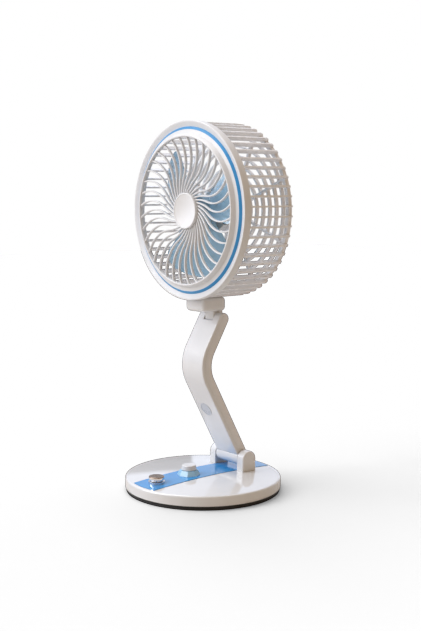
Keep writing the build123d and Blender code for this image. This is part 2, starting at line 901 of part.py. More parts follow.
def rear_cage():
    """The drum of bars with its rings, spokes, motor cup and the pad for the neck."""
    half_pitch = 180.0 / cage_rib_count
    pieces = around_head(cage_rib(), cage_rib_count, half_pitch)
    step_inner = cage_step_radius - cage_rib_depth
    pieces += [head_ring(cage_front, bezel_rear, cage_step_radius, step_inner)]
    half = rear_ring_width / 2
    for k in range(rear_ring_count):
        middle = rear_ring_first + rear_ring_pitch * k
        pieces += [head_ring(rear_ring_front, cage_rear, middle + half, middle - half)]
    rim = cage_radius - cage_corner
    pieces += [head_ring(rear_ring_front, cage_rear, rim, rim - rear_rim_width)]
    pieces += [cage_spoke(spoke_width, 360.0 * (k + 0.5) / spoke_count) for k in range(spoke_count)]
    pieces += [cage_spoke(lead_spoke_width, lead_spoke_angle), cage_pad()]
    cage = motor_cup() + pieces
    cuts = [neck_lead_hole()]
    spot = cage_radius / 2
    for point in neck_screw_points(neck_seat_z):
        above = (point[0], point[1], point[2] + spot)
        cuts += [rod(point, above, screw_head_radius + fit_gap)]
        cuts += [screw_hole(point, (point[0], point[1], point[2] - neck_screw_length))]
    cuts += retainer_screw_spots(can_front, can_front + retainer_screw_grip, screw_radius + screw_gap)
    cuts += [motor_lead_notch()]
    return cage - cuts


# Front grille
def rib_side(bend, point, normal, shift):
    """One side of a rib's arc, from the bend to a point, shift off its middle line."""
    span = point - bend
    radius = span.dot(span) / (2 * span.dot(normal))
    centre = bend + normal * radius
    inward = (centre - point) * (1 / radius)
    between = (normal + inward).normalized()
    reach = radius - shift
    return ThreePointArc(bend + normal * shift, centre - between * reach, point + inward * shift)


def polar(radius, angle):
    """A point in the grille's plane."""
    return Vector(radius * cos(radians(angle)), radius * sin(radians(angle)))


def grille_rib():
    """One S-shaped bar of the grille: a short arc at the hub and a longer one at the bezel."""
    root = polar(hub_radius + fit_gap, rib_root_angle)
    bend = polar(rib_bend_radius, rib_bend_angle)
    tip = polar(opening_radius + rib_overlap, rib_tip_angle)
    slope = radians(rib_bend_slope)
    normal = Vector(-sin(slope), cos(slope))
    half = grille_rib_width / 2
    upper = [rib_side(bend, root, normal, half), rib_side(bend, tip, normal, half)]
    lower = [rib_side(bend, root, normal, -half), rib_side(bend, tip, normal, -half)]
    ends = [Line(upper[0] @ 1, lower[0] @ 1), Line(upper[1] @ 1, lower[1] @ 1)]
    outline = make_face([line.edge() for line in upper + lower + ends])
    return extrude(head_plane(grille_rear) * outline, grille_rib_depth)


# The sloped step of the bezel that carries the blue ring, as radius and y
step_foot = Vector(accent_radius, bezel_front)
step_top = Vector(accent_radius - accent_run, bezel_front - bezel_raise)
step_out = Vector(bezel_raise, -accent_run).normalized()


def accent_section(proud):
    """The blue ring's section, from its seat to a surface proud of the step."""
    end = step_foot + (step_top - step_foot) * accent_share
    corners = [
        step_foot + step_out * proud,
        end + step_out * proud,
        end - step_out * accent_depth,
        step_foot - step_out * accent_depth,
    ]
    return turned([(c.X, c.Y) for c in corners])


def bezel():
    """The ring round the opening: skirt, sloped step, raised face, lip and inner wall."""
    face_y = step_top.Y
    lip_y = face_y + bezel_lip_drop
    well_y = face_y + bezel_well
    inner_wall = opening_radius + bezel_wall
    block = step_top.X - bezel_wall
    return turned(
        [
            (head_radius, bezel_rear),
            (head_radius, bezel_front + bezel_edge),
            (head_radius - bezel_edge, bezel_front),
            (step_foot.X, step_foot.Y),
            (step_top.X, step_top.Y),
            (opening_radius + bezel_lip_width, lip_y),
            (opening_radius, lip_y + bezel_lip_drop),
            (opening_radius, well_y),
            (inner_wall, well_y),
            (inner_wall, lip_y + bezel_wall),
            (block, face_y + bezel_wall),
            (block, cage_front),
            (bezel_inner, cage_front),
            (bezel_inner, bezel_rear),
        ]
    )


def front_grille():
    """The bezel with its bars and the small disc in the middle that carries the cap."""
    disc = head_rod(hub_disc_front, grille_rear, hub_radius + rib_overlap)
    ribs = around_head(grille_rib(), grille_rib_count)
    grille = bezel() + [disc] + ribs
    cap_seat = head_rod(bezel_front - bezel_raise, hub_disc_front, hub_radius + fit_gap)
    spigot = head_rod(hub_disc_front, grille_rear, hub_spigot_radius + fit_gap)
    return grille - [accent_section(bezel_raise), cap_seat, spigot]


def accent_ring():
    """The blue ring let into the bezel's step."""
    return accent_section(accent_proud)


def hub_cap():
    """The smooth domed cap in the middle of the grille, with a spigot behind."""
    side_y = hub_disc_front - hub_cap_side
    crest_y = side_y - hub_cap_crown
    sphere = (hub_radius**2 + hub_cap_crown**2) / (2 * hub_cap_crown)
    middle = (hub_radius / 2, crest_y + sphere - sqrt(sphere**2 - (hub_radius / 2) ** 2))
    sides = Polyline(
        (0, crest_y),
        (0, grille_rear),
        (hub_spigot_radius, grille_rear),
        (hub_spigot_radius, hub_disc_front),
        (hub_radius, hub_disc_front),
        (hub_radius, side_y),
    )
    outline = make_face(sides + ThreePointArc(sides @ 1, middle, sides @ 0))
    return revolve(Pos(0, 0, head_z) * outline, head_axis)


# Motor
def motor_can():
    """The motor's steel can, open at the back, with a hole for its front bearing."""
    can = head_rod(can_front, can_rear, motor_radius)
    can -= head_rod(can_front + motor_wall, can_rear, motor_radius - motor_wall)
    return can - head_rod(can_front, can_front + motor_wall, bearing_radius + pin_fit)


def motor_end_cap():
    """The plastic cap that closes the can and holds the rear bearing."""
    cap = head_rod(can_rear, cup_floor_y, motor_radius)
    return cap - head_rod(can_rear, cup_floor_y - fit_gap, bearing_radius + pin_fit)


def motor_bearings():
    """The two plain bearings."""
    fronts = (can_front - motor_wall, can_rear + fit_gap)
    lengths = (bearing_length, end_cap_thickness - motor_wall)
    bore = shaft_radius + running_gap
    return [head_ring(y, y + size, bearing_radius, bore) for y, size in zip(fronts, lengths)]


def motor_magnets():
    """The two curved magnets inside the can."""
    outer = motor_radius - motor_wall - pin_fit
    inner = armature_radius + magnet_gap
    front = [(inner, armature_front), (outer, armature_front)]
    rear = [(outer, armature_rear), (inner, armature_rear)]
    outline = Pos(0, 0, head_z) * make_face(Polyline(*front, *rear, close=True))
    magnet = revolve(outline, head_axis, magnet_arc)
    return around_head(magnet, magnet_count, magnet_arc / 2)


def motor_retainer():
    """The ring that holds the motor in its cup, with an ear at each screw."""
    front = can_front - retainer_thickness
    ring = head_ring(front, can_front, cup_outer, retainer_bore)
    ring += retainer_screw_spots(front, can_front, screw_radius + boss_wall)
    return ring - retainer_screw_spots(front, can_front, screw_radius + screw_gap)


def motor_screws():
    """The retainer's screws."""
    seat = head_point(retainer_screw_circle, 0, can_front - retainer_thickness)
    tip = head_point(retainer_screw_circle, 0, can_front + retainer_screw_grip - fit_gap)
    return around_head(screw(seat, tip), retainer_screw_count, retainer_first_angle)


motor_lead_y = rear_ring_front - lead_radius - fit_gap


def motor_leads():
    """The wires from the neck, along the lowest spoke, to the motor."""
    foot_z = neck_bottom + neck_edge_radius + fit_gap
    turn_z = head_z - cage_inner + lead_bend + lead_radius
    end_z = head_z - motor_radius - fit_gap
    points = [(0, neck_lead_y, foot_z), (0, neck_lead_y, turn_z)]
    points += [(0, motor_lead_y, turn_z + 2 * lead_bend), (0, motor_lead_y, end_z)]
    return lead(points)


def motor_lead_notch():
    """The way for the wires through the wall of the cup."""
    start = (0, motor_lead_y, head_z - cup_outer - cup_wall)
    return rod(start, (0, motor_lead_y, head_z - motor_radius), lead_radius + moving_gap)


# Rotor
def motor_shaft():
    """The shaft from the impeller's nut to the rear bearing."""
    end = can_rear + end_cap_thickness - motor_wall
    return head_rod(hub_front - nut_height / 2, end, shaft_radius)


def motor_armature():
    """The wound core on the shaft."""
    return head_ring(armature_front, armature_rear, armature_radius, shaft_radius + pin_fit)


def impeller_nut():
    """The cap nut in front of the impeller."""
    nut = extrude(head_plane(hub_front) * RegularPolygon(nut_radius, nut_sides), nut_height)
    return nut - head_rod(hub_front - nut_height / 2 - fit_gap, hub_front, shaft_radius + pin_fit)


def blade_section(radius, pitch):
    """A curved section across a blade, at one radius and pitch."""
    chord = (0, sin(radians(pitch)), cos(radians(pitch)))
    plane = Plane(origin=(radius, impeller_y, head_z), x_dir=chord, z_dir=(1, 0, 0))
    half = blade_chord / 2
    crest = blade_camber + blade_thickness / 2
    hollow = blade_camber - blade_thickness / 2
    fore = ThreePointArc((-half, 0), (0, crest), (half, 0))
    aft = ThreePointArc((-half, 0), (0, hollow), (half, 0))
    return plane * make_face([fore.edge(), aft.edge()])


def blade_outline():
    """A blade's outline from the front: narrow at the hub, wide and rounded at the tip."""
    inner = impeller_hub_radius - impeller_hub_wall / 2
    foot = polar(inner, -blade_root_half_angle)
    trail = polar(blade_tip_radius, blade_trail_angle)
    lead_tip = polar(blade_tip_radius, blade_lead_angle)
    head = polar(inner, blade_root_half_angle)
    tip_middle = polar(blade_tip_radius, (blade_trail_angle + blade_lead_angle) / 2)
    lines = [
        SagittaArc(foot, trail, blade_edge_bow),
        ThreePointArc(trail, tip_middle, lead_tip),
        SagittaArc(lead_tip, head, -blade_edge_bow),
        Line(head, foot),
    ]
    outline = make_face([line.edge() for line in lines])
    corners = [v for v in outline.vertices() if Vector(v).length > blade_tip_radius / 2]
    return fillet(corners, blade_corner)


def blade():
    """One pitched and twisted blade."""
    inner = impeller_hub_radius - impeller_hub_wall
    root = blade_section(inner / 2, blade_root_pitch)
    tip = blade_section(blade_tip_radius, blade_tip_pitch)
    sheet = loft([root, tip])
    depth = blade_chord / 2
    return sheet & extrude(head_plane(impeller_y + depth) * blade_outline(), 2 * depth)


def fan_impeller():
    """The hub with its three blades."""
    hub = head_rod(hub_front, hub_rear, impeller_hub_radius)
    hub = fillet(hub.edges().filter_by(GeomType.CIRCLE).sort_by(Axis.Y)[0], impeller_hub_wall)
    inside = head_rod(hub_front + impeller_hub_wall, hub_rear, impeller_hub_radius - impeller_hub_wall)
    blades = [part - inside for part in around_head(blade(), blade_count, blade_first_angle)]
    boss = head_rod(hub_front, hub_rear, impeller_boss_radius)
    impeller = hub - inside + blades + [boss]
    return impeller - head_rod(hub_front, hub_rear, shaft_radius + pin_fit)


nodes = {
    "base_cover": base_cover,
    "base_plate": base_plate,
    "foot_ring": foot_ring,
    "control_panel": control_panel,
    "knob_collar": knob_collar,
    "power_knob_ring": power_knob_ring,
    "hinge_post_left": lambda: hinge_post(-1),
    "hinge_post_right": lambda: hinge_post(1),
    "hinge_pin": hinge_pin,
    "friction_washers": friction_washers,
    "battery_pack": battery_pack,
    "ballast_plate": ballast_plate,
    "control_board": control_board,
    "power_switch": lambda: control(power_knob_y),
    "speed_potentiometer": lambda: control(speed_knob_y),
    "charging_socket": charging_socket,
    "supply_leads": supply_leads,
    "battery_leads": battery_leads,
    "base_screws": base_screws,
    "post_screws": post_screws,
    "speed_knob": speed_knob,
    "speed_spindle": lambda: spindle(speed_knob_y, speed_knob_top - knob_cap_wall - fit_gap),
    "power_knob": power_knob,
    "power_spindle": lambda: spindle(power_knob_y, power_knob_top - knob_cap_wall - fit_gap),
    "arm_rear_shell": arm_rear_shell,
    "arm_front_cover": arm_front_cover,
    "indicator_lens": indicator_lens,
    "indicator_led": indicator_led,
    "arm_leads": arm_leads,
    "arm_screws": arm_screws,
    "tilt_pin": tilt_pin,
    "neck_block": neck_block,
    "neck_screws": neck_screws,
    "rear_cage": rear_cage,
    "front_grille": front_grille,
    "accent_ring": accent_ring,
    "hub_cap": hub_cap,
    "motor_can": motor_can,
    "motor_end_cap": motor_end_cap,
    "motor_bearings": motor_bearings,
    "motor_magnets": motor_magnets,
    "motor_retainer": motor_retainer,
    "motor_screws": motor_screws,
    "motor_leads": motor_leads,
    "motor_shaft": motor_shaft,
    "motor_armature": motor_armature,
    "impeller_nut": impeller_nut,
    "fan_impeller": fan_impeller,
}

os.makedirs("parts", exist_ok=True)
for name, build in nodes.items():
    made = build()
    solids = made if isinstance(made, list) else [made]
    shape = Compound(children=[s for part in solids for s in part.solids()])
    export_step(shape, f"parts/{name}.step")
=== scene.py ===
import json
from cmath import phase, rect
from math import cos, pi, radians, sin

import bmesh
import bpy
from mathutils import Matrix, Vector


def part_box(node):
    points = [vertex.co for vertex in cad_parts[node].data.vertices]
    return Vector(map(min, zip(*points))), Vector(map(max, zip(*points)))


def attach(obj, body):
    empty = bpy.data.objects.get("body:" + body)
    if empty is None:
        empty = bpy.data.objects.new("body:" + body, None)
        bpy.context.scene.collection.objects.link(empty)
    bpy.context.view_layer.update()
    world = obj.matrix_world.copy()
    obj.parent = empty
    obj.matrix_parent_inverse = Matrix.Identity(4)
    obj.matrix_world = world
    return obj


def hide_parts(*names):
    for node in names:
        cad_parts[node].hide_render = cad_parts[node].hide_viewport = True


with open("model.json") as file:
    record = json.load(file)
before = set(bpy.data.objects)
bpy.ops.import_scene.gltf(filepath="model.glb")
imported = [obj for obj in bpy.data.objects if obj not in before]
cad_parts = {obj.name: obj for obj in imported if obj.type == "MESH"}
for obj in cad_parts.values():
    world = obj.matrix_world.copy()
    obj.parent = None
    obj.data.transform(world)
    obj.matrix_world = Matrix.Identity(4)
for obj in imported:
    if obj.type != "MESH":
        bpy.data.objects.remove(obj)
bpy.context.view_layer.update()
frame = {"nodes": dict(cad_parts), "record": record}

nodes = frame["nodes"]
scene = bpy.context.scene
MM = 0.001

# Camera, fitted to the photograph's frame of 421 by 631
IMAGE_HEIGHT = 631
FOCAL_PIXELS = 1043.12
SHIFT_PIXELS = (7.58, -6.38)
SENSOR = 36.0
CAMERA_PLACE = Vector((0.6918, -0.5565, 0.2573))
CAMERA_LOOK = Vector((-0.7742, 0.6228, -0.1127))


def facing(way):
    """The rotation of a camera or a light that looks along a way."""
    return way.to_track_quat("-Z", "Y").to_euler()


def add_camera():
    """The camera at the photograph's angle."""
    data = bpy.data.cameras.new("camera")
    data.sensor_fit = "VERTICAL"
    data.sensor_height = SENSOR
    data.lens = FOCAL_PIXELS / IMAGE_HEIGHT * SENSOR
    data.shift_x, data.shift_y = [pixels / IMAGE_HEIGHT for pixels in SHIFT_PIXELS]
    camera = bpy.data.objects.new("camera", data)
    camera.location = CAMERA_PLACE
    camera.rotation_euler = facing(CAMERA_LOOK)
    scene.collection.objects.link(camera)
    scene.camera = camera


add_camera()


# Node trees
def set_sockets(node, values):
    """Sets input sockets, whose names have underscores for spaces."""
    for key, value in values.items():
        node.inputs[key.replace("_", " ")].default_value = value


class NodeTree:
    """A node tree with short ways to add nodes and link them."""

    def __init__(self, tree):
        self.tree = tree

    def add(self, kind, **values):
        node = self.tree.nodes.new(kind)
        set_sockets(node, values)
        return node

    def link(self, out, into):
        self.tree.links.new(out, into)

    def math(self, operation, first, second):
        """Two values added or multiplied."""
        node = self.add("ShaderNodeMath")
        node.operation = operation
        self.link(first, node.inputs[0])
        self.link(second, node.inputs[1])
        return node.outputs["Value"]

    def spread(self, value, to_range, from_range):
        """A value brought from one range to another, and held within it."""
        node = self.add(
            "ShaderNodeMapRange",
            From_Min=from_range[0],
            From_Max=from_range[1],
            To_Min=to_range[0],
            To_Max=to_range[1],
        )
        self.link(value, node.inputs["Value"])
        return node.outputs["Result"]

    def parts(self, vector):
        """The X, Y and Z of a vector."""
        node = self.add("ShaderNodeSeparateXYZ")
        self.link(vector, node.inputs["Vector"])
        return node.outputs


class Surface(NodeTree):
    """A material with one Principled shader and the textures that feed it."""

    def __init__(self, name):
        self.material = bpy.data.materials.new(name)
        self.material.use_nodes = True
        super().__init__(self.material.node_tree)
        self.shader = self.tree.nodes["Principled BSDF"]
        self.coords = self.add("ShaderNodeTexCoord").outputs["Object"]

    def set(self, **values):
        """Numbers that are the same all over the surface."""
        set_sockets(self.shader, values)

    def texture(self, kind, mapping, **values):
        """A texture on the object's coordinates, which a mapping may move, stretch and turn."""
        place = self.add("ShaderNodeMapping", **mapping)
        self.link(self.coords, place.inputs["Vector"])
        node = self.add(kind, **values)
        self.link(place.outputs["Vector"], node.inputs["Vector"])
        return node

    def noise(self, scale, detail, **mapping):
        node = self.texture("ShaderNodeTexNoise", mapping, Scale=scale, Detail=detail)
        return node.outputs["Fac"]

    def cells(self, scale):
        return self.texture("ShaderNodeTexVoronoi", {}, Scale=scale).outputs["Distance"]

    def rings(self, scale, centre, wobble):
        """Rings round an upright axis."""
        mapping = {"Location": [-c for c in centre]}
        node = self.texture("ShaderNodeTexWave", mapping, Scale=scale, Distortion=wobble)
        node.wave_type = "RINGS"
        node.rings_direction = "Z"
        return node.outputs["Fac"]

    def ramp(self, value, *stops):
        """Colours along a value, each at its own place."""
        node = self.add("ShaderNodeValToRGB")
        elements = node.color_ramp.elements
        while len(elements) < len(stops):
            elements.new(0.5)
        for element, (place, colour) in zip(elements, stops):
            element.position = place
            element.color = (*colour, 1.0)
        self.link(value, node.inputs["Fac"])
        return node.outputs["Color"]

    def shades(self, value, pair, reach):
        """A dark and a light colour, which meet within some reach of a noise's middle."""
        dark, light = pair
        return self.ramp(value, (0.5 - reach, dark), (0.5 + reach, light))

    def colour(self, out):
        self.link(out, self.shader.inputs["Base Color"])

    def rough(self, out):
        self.link(out, self.shader.inputs["Roughness"])

    def bump(self, out, depth, edge=0.0):
        """Relief of some depth, with edges that look rounded to a radius."""
        node = self.add("ShaderNodeBump", Distance=depth, Strength=1.0)
        self.link(out, node.inputs["Height"])
        if edge:
            round_edge = self.add("ShaderNodeBevel", Radius=edge)
            self.link(round_edge.outputs["Normal"], node.inputs["Normal"])
        self.link(node.outputs["Normal"], self.shader.inputs["Normal"])


# Finishes: scales of textures per metre, depths of their relief in metres, and ranges of values
CLOUD_SCALE = 38.0
GLOSS_SCALE = 160.0
HAIRLINE_SCALE = 420.0
HAIRLINE_STRETCH = (1.0, 0.04, 1.0)
HAIRLINE_TURN = [radians(angle) for angle in (12.0, 25.0, 40.0)]
PEEL_SCALE = 900.0
TINT_SCALE = 46.0
CLEAR_GLOSS_SCALE = 210.0
FLOW_SCALE = 320.0
FLOW_STRETCH = (1.0, 0.3, 1.0)
RING_SCALE = 900.0
RING_WOBBLE = 0.4
KNOB_FACE_BLEND = 0.04
LINE_SCALE = 900.0
LINE_STRETCH = (1.0, 0.05, 1.0)
GRAIN_SCALE = 1600.0
RUBBER_SCALE = 90.0

PEEL_DEPTH = 0.000008
PANEL_PEEL = 0.000003
BASE_PEEL = 0.000001
INNER_PEEL = 0.000020
FLOW_DEPTH = 0.000010
RING_DEPTH = 0.000004
LINE_DEPTH = 0.000006
GRAIN_DEPTH = 0.000030

WHOLE_RANGE = (0.0, 1.0)
NOISE_RANGE = (0.3, 0.7)
HAIRLINE_RANGE = (0.60, 0.75)
GRAIN_RANGE = (0.1, 0.6)
HAIRLINE_ROUGHNESS = (0.0, 0.05)
CLEAR_ROUGHNESS = (0.06, 0.16)
PLATED_ROUGHNESS = (0.08, 0.16)
RUBBER_ROUGHNESS = (0.48, 0.70)


def moulded(name, pair, rough, coat=0.0, peel=PEEL_DEPTH, edge=0.0):
    """Moulded plastic: faint clouding, an uneven gloss with fine hairlines, and a slight orange peel."""
    s = Surface(name)
    s.colour(s.shades(s.noise(CLOUD_SCALE, detail=4.0), pair, reach=0.14))
    gloss = s.spread(s.noise(GLOSS_SCALE, detail=5.0), rough, NOISE_RANGE)
    scratches = s.noise(HAIRLINE_SCALE, detail=2.0, Scale=HAIRLINE_STRETCH, Rotation=HAIRLINE_TURN)
    hairlines = s.spread(scratches, HAIRLINE_ROUGHNESS, HAIRLINE_RANGE)
    s.rough(s.math("ADD", gloss, hairlines))
    s.bump(s.noise(PEEL_SCALE, detail=2.0), peel, edge)
    s.set(IOR=1.5, Coat_Weight=coat, Coat_Roughness=0.03, Coat_IOR=1.6)
    return s.material


def clear_plastic(name, pair, clear):
    """Tinted see-through plastic with faint flow marks."""
    s = Surface(name)
    s.colour(s.shades(s.noise(TINT_SCALE, detail=4.0), pair, reach=0.16))
    s.rough(s.spread(s.noise(CLEAR_GLOSS_SCALE, detail=4.0), CLEAR_ROUGHNESS, NOISE_RANGE))
    s.bump(s.noise(FLOW_SCALE, detail=2.0, Scale=FLOW_STRETCH), FLOW_DEPTH, edge=0.3 * MM)
    s.set(IOR=1.49, Transmission_Weight=clear, Coat_Weight=0.5, Coat_Roughness=0.04)
    return s.material


def plated_knob(name, side, face, face_start, box):
    """A plated knob with the fine rings that turning leaves, and a face of another colour than its side:
    the face is painted brown, a painted reflection of brown surroundings in the plating.
    """
    low, high = box
    s = Surface(name)
    rings = s.rings(RING_SCALE, ((low.x + high.x) / 2, (low.y + high.y) / 2, 0.0), RING_WOBBLE)
    height = s.spread(s.parts(s.coords)["Z"], WHOLE_RANGE, (low.z, high.z))
    face_whole = face_start + KNOB_FACE_BLEND
    # Painted reflection: from face_start up, the knob's face takes a brown that stands for brown
    # surroundings seen in the plating
    s.colour(s.ramp(height, (0.0, side), (face_start, side), (face_whole, face), (1.0, face)))
    s.rough(s.spread(rings, PLATED_ROUGHNESS, WHOLE_RANGE))
    s.bump(rings, RING_DEPTH, edge=0.3 * MM)
    s.set(Metallic=1.0)
    return s.material


def brushed_metal(name, pair, rough):
    """Plain metal with drawn lines."""
    s = Surface(name)
    lines = s.noise(LINE_SCALE, detail=3.0, Scale=LINE_STRETCH)
    s.colour(s.shades(lines, pair, reach=0.15))
    s.rough(s.spread(lines, rough, NOISE_RANGE))
    s.bump(lines, LINE_DEPTH, edge=0.2 * MM)
    s.set(Metallic=1.0)
    return s.material


def rubber(name, pair):
    """Matt rubber with a fine pebble grain."""
    s = Surface(name)
    grain = s.cells(GRAIN_SCALE)
    s.colour(s.shades(s.noise(RUBBER_SCALE, detail=4.0), pair, reach=0.15))
    s.rough(s.spread(grain, RUBBER_ROUGHNESS, GRAIN_RANGE))
    s.bump(grain, GRAIN_DEPTH, edge=0.5 * MM)
    return s.material


# Colours: a dark and a light shade of each, and two plain ones for the front knob: its plated side and a
# painted brown reflection on its face
WHITE = ((0.70, 0.70, 0.71), (0.74, 0.74, 0.75))
# Painted light: the hub cap's white is lighter than the shell's white, standing in for the light the cap
# catches
CAP_LIT_WHITE = ((0.78, 0.78, 0.79), (0.82, 0.82, 0.83))
# Painted light: the rear cage's white is lighter than the shell's white, standing in for the light its bars
# catch
CAGE_LIT_WHITE = ((0.82, 0.82, 0.84), (0.86, 0.86, 0.88))
INNER_WHITE = ((0.60, 0.60, 0.58), (0.66, 0.66, 0.64))
NUT_WHITE = ((0.68, 0.69, 0.72), (0.74, 0.75, 0.78))
WIRE_WHITE = ((0.55, 0.55, 0.53), (0.62, 0.62, 0.60))
FLOOR_PALE = ((0.50, 0.46, 0.41), (0.52, 0.48, 0.43))
PANEL_BLUE = ((0.014, 0.225, 0.56), (0.024, 0.260, 0.62))
RING_BLUE = ((0.026, 0.250, 0.56), (0.038, 0.290, 0.62))
BLADE_BLUE = ((0.42, 0.69, 0.90), (0.49, 0.75, 0.93))
COLLAR_BLUE = ((0.36, 0.70, 1.00), (0.50, 0.80, 1.00))
LENS_GREY = ((0.50, 0.53, 0.59), (0.57, 0.60, 0.66))
BOARD_GREEN = ((0.02, 0.12, 0.05), (0.03, 0.16, 0.07))
FOOT_BLACK = ((0.010, 0.010, 0.011), (0.020, 0.020, 0.021))
MAGNET_BLACK = ((0.03, 0.03, 0.035), (0.05, 0.05, 0.055))
CELL_GREY = ((0.40, 0.42, 0.46), (0.48, 0.50, 0.54))
STEEL_GREY = ((0.50, 0.50, 0.52), (0.58, 0.58, 0.60))
CHROME_GREY = ((0.74, 0.74, 0.76), (0.82, 0.82, 0.84))
COPPER = ((0.40, 0.16, 0.06), (0.50, 0.22, 0.09))
BRONZE = ((0.42, 0.27, 0.10), (0.50, 0.33, 0.14))
KNOB_SILVER = (0.86, 0.86, 0.88)
# A painted reflection of brown surroundings on the knob's face, not the plating's own colour
KNOB_REFLECTION_BROWN = (0.36, 0.26, 0.19)
KNOB_FACE_START = 0.80
SATIN_METAL = (0.25, 0.40)

power_knob_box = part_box("power_knob")
slot_finishes = {
    "white_shell": moulded("white_shell", WHITE, (0.12, 0.22), coat=0.5, edge=0.6 * MM),
    "white_cage": moulded("white_cage", WHITE, (0.28, 0.40), coat=0.1, edge=0.3 * MM),
    "blue_panel": moulded("blue_panel", PANEL_BLUE, (0.07, 0.12), 0.3, PANEL_PEEL, edge=0.4 * MM),
    "blue_ring": moulded("blue_ring", RING_BLUE, (0.30, 0.42), edge=0.3 * MM),
    "clear_blue": clear_plastic("clear_blue", BLADE_BLUE, clear=0.60),
    "tinted_chrome": plated_knob("tinted_chrome", KNOB_SILVER, KNOB_REFLECTION_BROWN, KNOB_FACE_START, power_knob_box),
    "black_rubber": rubber("black_rubber", FOOT_BLACK),
    "lens_grey": moulded("lens_grey", LENS_GREY, (0.24, 0.36), coat=0.3),
    "inner_plastic": moulded("inner_plastic", INNER_WHITE, (0.40, 0.55), peel=INNER_PEEL),
    "board_green": moulded("board_green", BOARD_GREEN, (0.30, 0.45)),
    "cell_wrap": brushed_metal("cell_wrap", CELL_GREY, SATIN_METAL),
    "steel": brushed_metal("steel", STEEL_GREY, (0.22, 0.36)),
    "magnet": rubber("magnet", MAGNET_BLACK),
    "winding": brushed_metal("winding", COPPER, SATIN_METAL),
    "bronze": brushed_metal("bronze", BRONZE, SATIN_METAL),
    "nut_plastic": moulded("nut_plastic", NUT_WHITE, (0.20, 0.30)),
    "wire": moulded("wire", WIRE_WHITE, (0.35, 0.50)),
}
own_finishes = {
    "base_cover": moulded("white_base", WHITE, (0.05, 0.09), coat=1.0, peel=BASE_PEEL, edge=0.8 * MM),
    "knob_collar": clear_plastic("clear_collar", COLLAR_BLUE, clear=0.20),
    "power_knob_ring": brushed_metal("pale_chrome", CHROME_GREY, PLATED_ROUGHNESS),
    # The rear cage is the shell's white plastic, painted lighter as painted light on its bars
    "rear_cage": moulded("cage_painted_lighter", CAGE_LIT_WHITE, (0.20, 0.32), coat=0.3, edge=0.3 * MM),
    # The hub cap is the shell's white plastic with a satin gloss, painted lighter as painted light
    "hub_cap": moulded("satin_cap", CAP_LIT_WHITE, (0.42, 0.52)),
}
slots = {part["node"]: part["material_slot"] for part in frame["record"]["subparts"]}


def set_finish(mesh, node):
    """Gives a mesh the node's own finish, or that of the node's slot."""
    mesh.materials.clear()
    mesh.materials.append(own_finishes.get(node, slot_finishes[slots[node]]))


for node in slots:
    set_finish(nodes[node].data, node)


# Meshes, made of shells: each is a list of points in metres and the faces between them
CORNER_SIDES = 3
CORNER_SHARE = 0.45
LATHE_STEPS = 180
ROUND_STEPS = 6
MERGE_DISTANCE = 1e-6
SHARP_ANGLE = 40.0


def rounded(points, radius):
    """A closed outline whose corners are rounded, with a few short sides for each."""
    outline = []
    for before, corner, after in zip(points[-1:] + points[:-1], points, points[1:] + points[:1]):
        sides = [Vector(end) - Vector(corner) for end in (before, after)]
        reach = min(radius, *[CORNER_SHARE * side.length for side in sides])
        start, end = [Vector(corner) + side.normalized() * reach for side in sides]
        for k in range(CORNER_SIDES + 1):
            t = k / CORNER_SIDES
            point = start * (1 - t) ** 2 + Vector(corner) * 2 * t * (1 - t) + end * t**2
            outline.append((point.x, point.y))
    return outline


def loop_faces(rows, size, closed):
    """The faces between rows of points that each go round a section."""
    faces = []
    for row in range(rows if closed else rows - 1):
        near = row * size
        far = (row + 1) % rows * size
        for k in range(size):
            after = (k + 1) % size
            faces.append((near + k, near + after, far + after, far + k))
    return faces


def lathe(outline, place):
    """A shell from an outline that is turned about an axis. place finds a point from it and a turn."""
    turns = [2 * pi * k / LATHE_STEPS for k in range(LATHE_STEPS)]
    points = [place(radius, turn, depth) for turn in turns for radius, depth in outline]
    return points, loop_faces(LATHE_STEPS, len(outline), True)


def add_piece(name, shells, node, body):
    """A piece made of closed shells, which stands for a node and takes its finish."""
    mesh = bpy.data.meshes.new(name)
    points = []
    faces = []
    for shell_points, shell_faces in shells:
        faces += [[len(points) + k for k in face] for face in shell_faces]
        points += shell_points
    mesh.from_pydata(points, [], faces)
    work = bmesh.new()
    work.from_mesh(mesh)
    bmesh.ops.remove_doubles(work, verts=work.verts, dist=MERGE_DISTANCE)
    bmesh.ops.recalc_face_normals(work, faces=work.faces)
    work.to_mesh(mesh)
    work.free()
    mesh.shade_smooth()
    mesh.set_sharp_from_angle(angle=radians(SHARP_ANGLE))
    set_finish(mesh, node)
    piece = bpy.data.objects.new(name, mesh)
    scene.collection.objects.link(piece)
    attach(piece, body)
    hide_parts(node)


# Bezel, in millimetres: widths inwards from the head's radius, and depths behind the rim's crest
SKIRT_DEPTH = 7.1
SKIRT_WALL = 1.9
RIM_WIDTH = 1.3
GROOVE_INSET = 5.2
GROOVE_DEPTH = 1.9
BAND_RUN = 2.2
BAND_RISE = 1.7
BAND_PROUD = 0.15
BAND_DEPTH = 0.5
LEDGE_RUN = 3.3
LEDGE_RISE = 0.4
BEZEL_WIDTH = 13.8
BEAD_WIDTH = 1.4
BEAD_RISE = 4.0
RING_SEAT = 5.9
RING_FRONT = 2.02
BACK_WALL = 1.3
EDGE_RADIUS = 0.5

